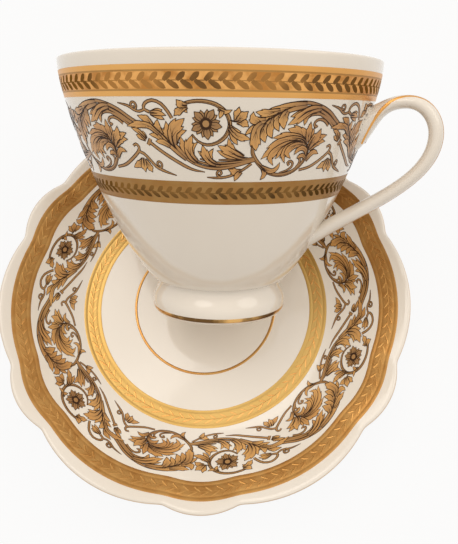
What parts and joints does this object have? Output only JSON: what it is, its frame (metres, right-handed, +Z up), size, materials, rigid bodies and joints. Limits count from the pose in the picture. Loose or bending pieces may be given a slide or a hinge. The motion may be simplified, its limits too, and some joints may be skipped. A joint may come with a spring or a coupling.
{
  "type": "coffee cup with saucer",
  "caption": "Footed porcelain coffee cup with a loop handle and gold bands, lying on its scalloped saucer; it tips up to stand on the saucer.",
  "frame": {"origin": "centre of the saucer's foot ring, on the surface that it stands on", "axes": "+Z up, +Y the way the lying cup's mouth points, +X the side of the cup's handle"},
  "size_m": [0.1168, 0.129, 0.0872],
  "materials": {
    "porcelain": "gloss",
    "gilding": "satin",
    "scroll_print": "gloss"
  },
  "bodies": {
    "saucer": {"saucer_plate": "porcelain", "saucer_foot_ring": "porcelain", "saucer_outer_band": "gilding", "saucer_inner_band": "gilding", "saucer_scroll_frieze": "scroll_print", "saucer_well_line": "gilding", "saucer_edge_line": "gilding"},
    "cup": {"cup_bowl": "porcelain", "cup_foot": "porcelain", "cup_handle": "porcelain", "cup_upper_band": "gilding", "cup_lower_band": "gilding", "cup_scroll_frieze": "scroll_print", "cup_foot_line": "gilding", "cup_handle_line": "gilding"}
  },
  "joints": [
    {"name": "cup_tip", "type": "hinge", "parent": "saucer", "child": "cup", "pos_m": [0.0048, 0.0053, 0.00625], "axis": [1, 0, 0], "range_deg": [0, 57]}
  ]
}
